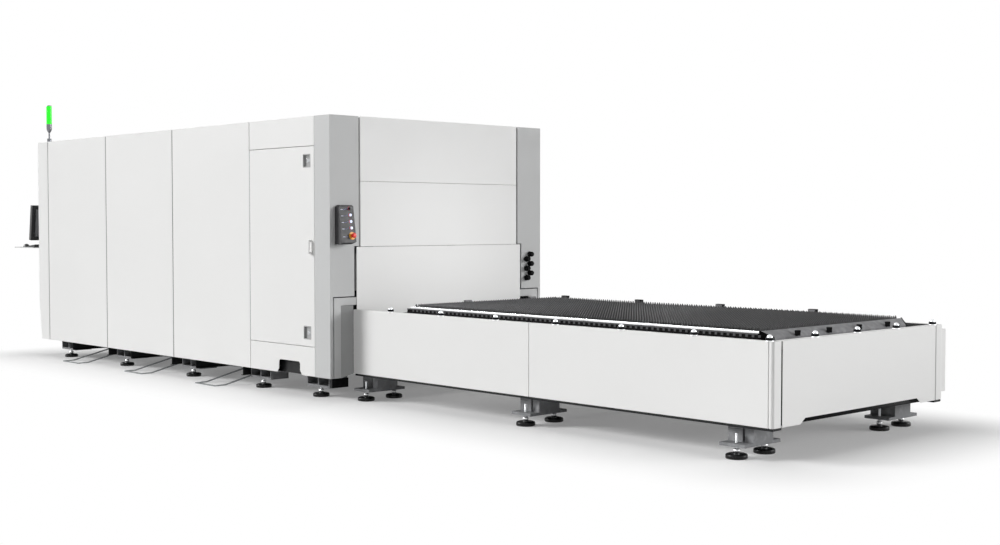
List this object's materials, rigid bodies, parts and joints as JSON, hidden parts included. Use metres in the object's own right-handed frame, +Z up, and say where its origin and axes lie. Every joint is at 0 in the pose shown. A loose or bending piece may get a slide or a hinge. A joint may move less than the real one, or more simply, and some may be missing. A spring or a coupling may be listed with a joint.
{
  "type": "fiber laser cutting machine",
  "caption": "Enclosed fiber laser sheet cutter with a lift door, a pallet exchange table with toothed slats, a gantry cutting head and a swivel operator console.",
  "frame": {"origin": "middle of the machine's footprint, on the floor", "axes": "+X runs out along the exchange table, away from the operator's end; +Y is away from the service door's side; +Z is up"},
  "size_m": [9.663, 2.441, 2.581],
  "materials": {
    "white_enamel": "fine-textured powder coat",
    "grey_enamel": "smooth powder coat",
    "black_enamel": "satin powder coat",
    "frame_grey": "satin enamel",
    "galvanised": "bright zinc-coated sheet",
    "slat_steel": "laser-cut mild steel",
    "ground_steel": "ground guide steel",
    "chrome_steel": "polished",
    "foot_rubber": "moulded",
    "control_plastic": "fine-textured moulding",
    "black_plastic": "moulded",
    "white_button": "moulded",
    "red_plastic": "moulded",
    "collar_plastic": "moulded",
    "green_lens": "translucent moulding",
    "window_glass": "tinted laser-safe pane",
    "grey_plastic": "moulded"
  },
  "bodies": {
    "machine": {"ball_transfers": "chrome_steel", "base_frame": "black_enamel", "button_collars": "collar_plastic", "cable_glands": "black_plastic", "cheek_panels": "white_enamel", "console_arm": "grey_enamel", "control_box": "control_plastic", "corner_columns": "grey_enamel", "door_header": "white_enamel", "door_hinges": "ground_steel", "door_plinth": "white_enamel", "drive_cover": "white_enamel", "end_panels": "white_enamel", "far_panels": "white_enamel", "foot_brackets": "black_enamel", "foot_pads": "foot_rubber", "foot_studs": "chrome_steel", "gantry_rails": "ground_steel", "laser_cabinet": "white_enamel", "lift_door_guides": "ground_steel", "link_covers": "grey_enamel", "machine_bed": "frame_grey", "near_panels": "white_enamel", "operator_end_panels": "grey_enamel", "pallet_tracks": "ground_steel", "roof_panels": "white_enamel", "signal_light_lens": "green_lens", "signal_light_stand": "grey_plastic", "table_corner_covers": "white_enamel", "table_end_panel": "white_enamel", "table_frame": "black_enamel", "table_side_panels": "white_enamel", "wall_frame": "frame_grey"},
    "access_door": {"access_door": "white_enamel", "latch_cups": "black_plastic", "door_pull": "white_enamel"},
    "upper_latch": {"upper_latch": "chrome_steel"},
    "lower_latch": {"lower_latch": "chrome_steel"},
    "operator_door": {"operator_door": "white_enamel", "operator_window": "window_glass"},
    "lift_door": {"lift_door": "white_enamel"},
    "upper_pallet": {"upper_pallet_frame": "frame_grey", "upper_pallet_slats": "slat_steel", "side_strips": "galvanised"},
    "lower_pallet": {"lower_pallet_frame": "frame_grey", "lower_pallet_slats": "slat_steel"},
    "gantry": {"gantry_beam": "grey_enamel"},
    "carriage": {"gantry_carriage": "grey_enamel"},
    "cutting_head": {"cutting_head": "black_enamel"},
    "drawer_1": {"scrap_drawer_1": "galvanised"},
    "drawer_2": {"scrap_drawer_2": "galvanised"},
    "drawer_3": {"scrap_drawer_3": "galvanised"},
    "console": {"console_tray": "grey_enamel", "keyboard": "black_plastic"},
    "monitor": {"monitor": "black_plastic"},
    "button_1": {"push_button_1": "white_button"},
    "button_2": {"push_button_2": "white_button"},
    "button_3": {"push_button_3": "white_button"},
    "selector": {"selector_knob": "black_plastic"},
    "stop": {"stop_button": "red_plastic"}
  },
  "joints": [
    {"name": "pallet_exchange", "type": "slide", "parent": "machine", "child": "upper_pallet", "axis": [-1, 0, 0], "range_m": [0, 3.95]},
    {"name": "lower_pallet_slide", "type": "slide", "parent": "machine", "child": "lower_pallet", "axis": [1, 0, 0], "range_m": [0, 3.95]},
    {"name": "door_lift", "type": "slide", "parent": "machine", "child": "lift_door", "axis": [0, 0, 1], "range_m": [0, 0.9]},
    {"name": "access_door_hinge", "type": "hinge", "parent": "machine", "child": "access_door", "pos_m": [-0.2205, -1.0585, 1.185], "axis": [0, 0, -1], "range_deg": [0, 105]},
    {"name": "upper_latch_turn", "type": "hinge", "parent": "access_door", "child": "upper_latch", "pos_m": [0.60352, -1.0505, 1.8555], "axis": [0, 1, 0], "range_deg": [0, 90]},
    {"name": "lower_latch_turn", "type": "hinge", "parent": "access_door", "child": "lower_latch", "pos_m": [0.60352, -1.0505, 0.5105], "axis": [0, 1, 0], "range_deg": [0, 90]},
    {"name": "operator_door_hinge", "type": "hinge", "parent": "machine", "child": "operator_door", "pos_m": [-4.1885, 0.5995, 1.165], "axis": [0, 0, -1], "range_deg": [0, 90]},
    {"name": "gantry_travel", "type": "slide", "parent": "machine", "child": "gantry", "axis": [1, 0, 0], "range_m": [0, 3.2]},
    {"name": "carriage_travel", "type": "slide", "parent": "gantry", "child": "carriage", "axis": [0, 1, 0], "range_m": [-0.7, 0.7]},
    {"name": "head_travel", "type": "slide", "parent": "carriage", "child": "cutting_head", "axis": [0, 0, -1], "range_m": [0, 0.09]},
    {"name": "drawer_1_slide", "type": "slide", "parent": "machine", "child": "drawer_1", "axis": [0, -1, 0], "range_m": [0, 1.2]},
    {"name": "drawer_2_slide", "type": "slide", "parent": "machine", "child": "drawer_2", "axis": [0, -1, 0], "range_m": [0, 1.2]},
    {"name": "drawer_3_slide", "type": "slide", "parent": "machine", "child": "drawer_3", "axis": [0, -1, 0], "range_m": [0, 1.2]},
    {"name": "console_swivel", "type": "hinge", "parent": "machine", "child": "console", "pos_m": [-4.3115, -0.8205, 1.205], "axis": [0, 0, 1], "range_deg": [-30, 40]},
    {"name": "monitor_tilt", "type": "hinge", "parent": "console", "child": "monitor", "pos_m": [-4.4215, -0.8205, 1.362], "axis": [0, 1, 0], "range_deg": [-10, 10]},
    {"name": "button_1_press", "type": "slide", "parent": "machine", "child": "button_1", "axis": [-0.9886, 0, -0.1506], "range_m": [0, 0.003], "stiffness_N_per_m": 600, "springref_m": -0.002},
    {"name": "button_2_press", "type": "slide", "parent": "machine", "child": "button_2", "axis": [-0.9886, 0, -0.1506], "range_m": [0, 0.003], "stiffness_N_per_m": 600, "springref_m": -0.002},
    {"name": "button_3_press", "type": "slide", "parent": "machine", "child": "button_3", "axis": [-0.9886, 0, -0.1506], "range_m": [0, 0.003], "stiffness_N_per_m": 600, "springref_m": -0.002},
    {"name": "selector_turn", "type": "hinge", "parent": "machine", "child": "selector", "pos_m": [0.93761, -0.9095, 1.481], "axis": [0.9886, 0, 0.1506], "range_deg": [-45, 45]},
    {"name": "stop_press", "type": "slide", "parent": "machine", "child": "stop", "axis": [-0.9886, 0, -0.1506], "range_m": [0, 0.004], "stiffness_N_per_m": 800, "springref_m": -0.002}
  ],
  "couplings": [
    {"joint": "lower_pallet_slide", "follows": "pallet_exchange", "ratio": 1},
    {"joint": "door_lift", "follows": "pallet_exchange", "ratio": 0.22784}
  ]
}
